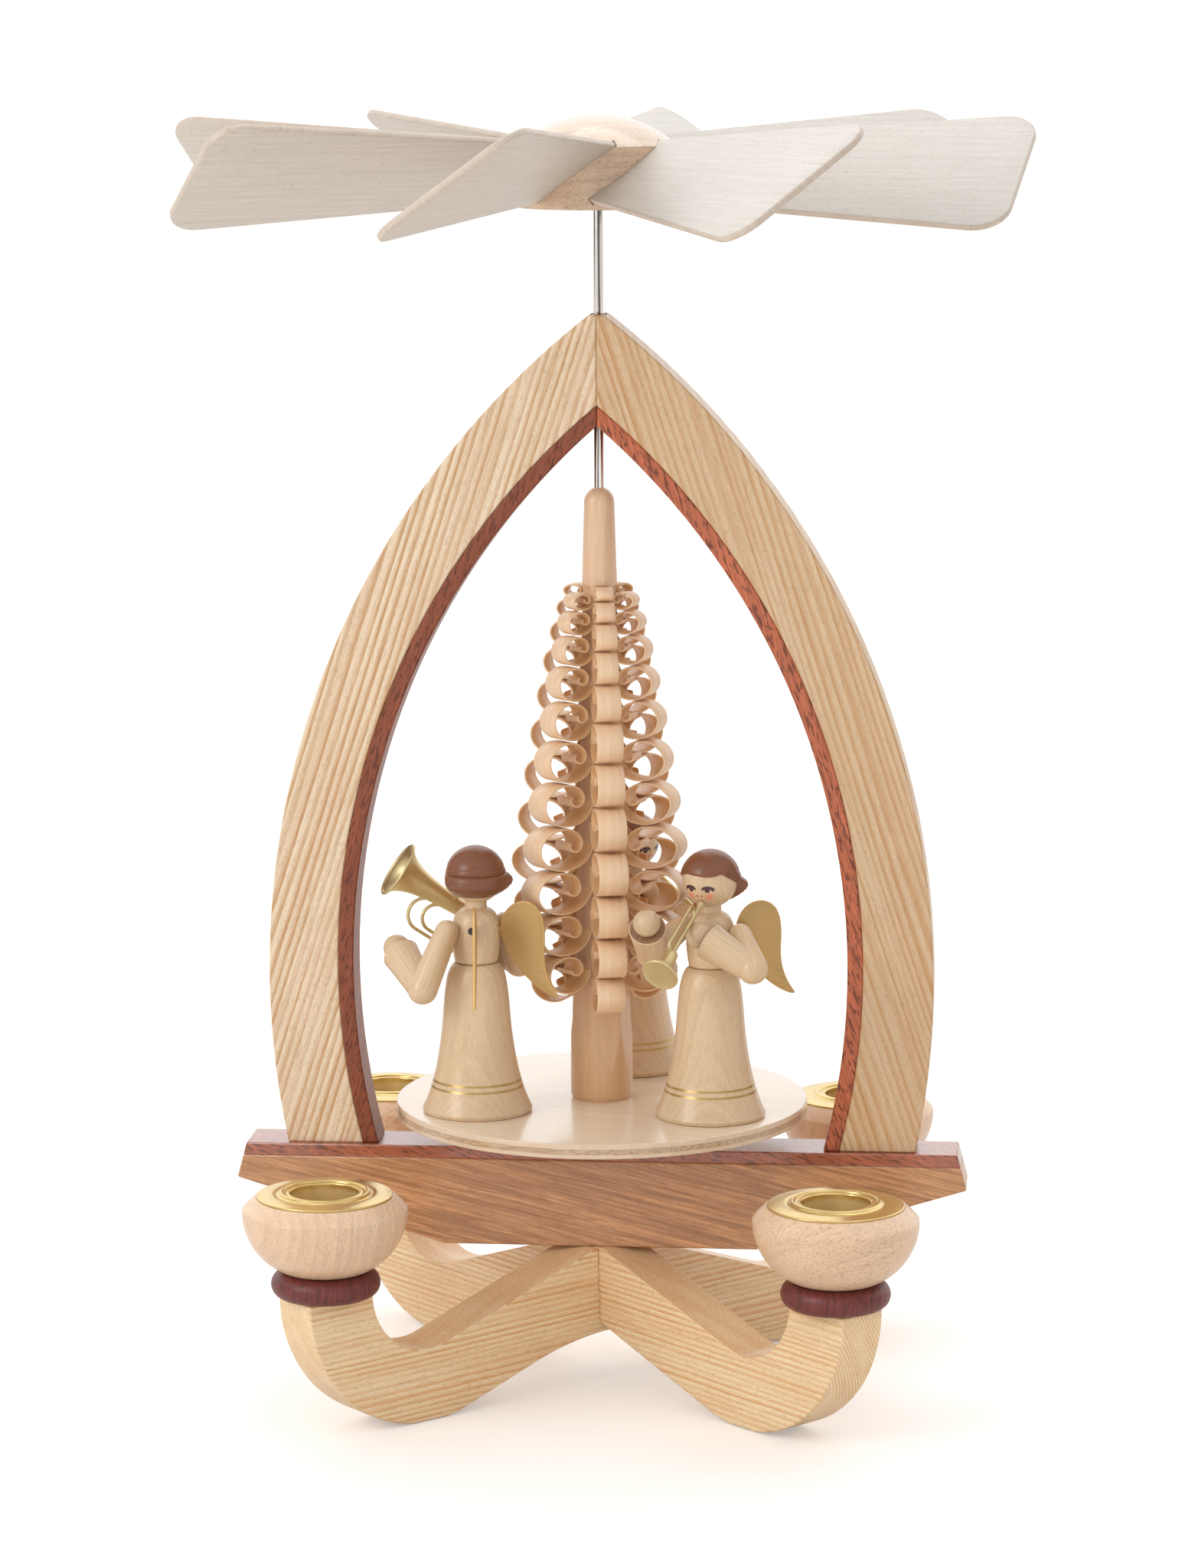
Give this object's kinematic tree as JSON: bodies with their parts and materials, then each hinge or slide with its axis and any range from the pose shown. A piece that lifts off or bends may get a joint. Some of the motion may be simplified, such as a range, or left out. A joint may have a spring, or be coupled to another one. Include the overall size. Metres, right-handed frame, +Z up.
{
  "type": "christmas pyramid",
  "caption": "Table-top Christmas pyramid: a cross stand with candle bowls and a pointed arch, in which a turntable with angels and a shaved tree turns under a bladed impeller.",
  "frame": {"origin": "on the shaft axis, at the surface that the feet stand on", "axes": "+Z up along the shaft, X along the beam and the arch, -Y towards the viewer of the picture"},
  "size_m": [0.1838, 0.1838, 0.2732],
  "materials": {
    "ash": "satin varnish",
    "dark_strip": "satin varnish",
    "brown_heartwood": "satin varnish",
    "burgundy_stain": "stained and varnished",
    "beech": "satin varnish",
    "brass": "polished",
    "steel": "drawn rod",
    "bearing_glass": "clear",
    "birch_ply": "sanded plywood",
    "lime_wood": "bare shaved wood",
    "maple": "satin varnish",
    "hair_paint": "gloss brown paint on wood",
    "gold_paint": "matt gold paint"
  },
  "bodies": {
    "stand": {"arch_left": "ash", "arch_right": "ash", "arch_strip_left": "dark_strip", "arch_strip_right": "dark_strip", "base_board_lower": "ash", "base_board_upper": "ash", "beam_screw": "steel", "beam_top_strip": "dark_strip", "bearing_cup": "bearing_glass", "bowl_dowels": "beech", "candle_bowl_1": "beech", "candle_bowl_2": "beech", "candle_bowl_3": "beech", "candle_bowl_4": "beech", "candle_insert_1": "brass", "candle_insert_2": "brass", "candle_insert_3": "brass", "candle_insert_4": "brass", "cross_beam": "brown_heartwood", "guide_bush": "brass", "leg_dowels": "beech", "spacer_ring_1": "burgundy_stain", "spacer_ring_2": "burgundy_stain", "spacer_ring_3": "burgundy_stain", "spacer_ring_4": "burgundy_stain"},
    "carousel": {"blade_1": "birch_ply", "blade_2": "birch_ply", "blade_3": "birch_ply", "blade_4": "birch_ply", "blade_5": "birch_ply", "blade_6": "birch_ply", "blade_7": "birch_ply", "blade_8": "birch_ply", "impeller_hub": "beech", "left_angel_arms": "maple", "left_angel_body": "maple", "left_angel_hair": "hair_paint", "left_angel_hands": "maple", "left_angel_head": "maple", "left_angel_horn": "brass", "left_angel_wings": "gold_paint", "rear_angel_arms": "maple", "rear_angel_body": "maple", "rear_angel_hair": "hair_paint", "rear_angel_hands": "maple", "rear_angel_head": "maple", "rear_angel_trumpet": "brass", "rear_angel_wings": "gold_paint", "right_angel_arms": "maple", "right_angel_body": "maple", "right_angel_hair": "hair_paint", "right_angel_hands": "maple", "right_angel_head": "maple", "right_angel_trumpet": "brass", "right_angel_wings": "gold_paint", "shaft": "steel", "shaved_tree": "lime_wood", "turntable": "birch_ply"}
  },
  "joints": [
    {"name": "carousel_spin", "type": "hinge", "parent": "stand", "child": "carousel", "pos_m": [0, 0, 0.0588], "axis": [0, 0, 1], "continuous": true}
  ]
}
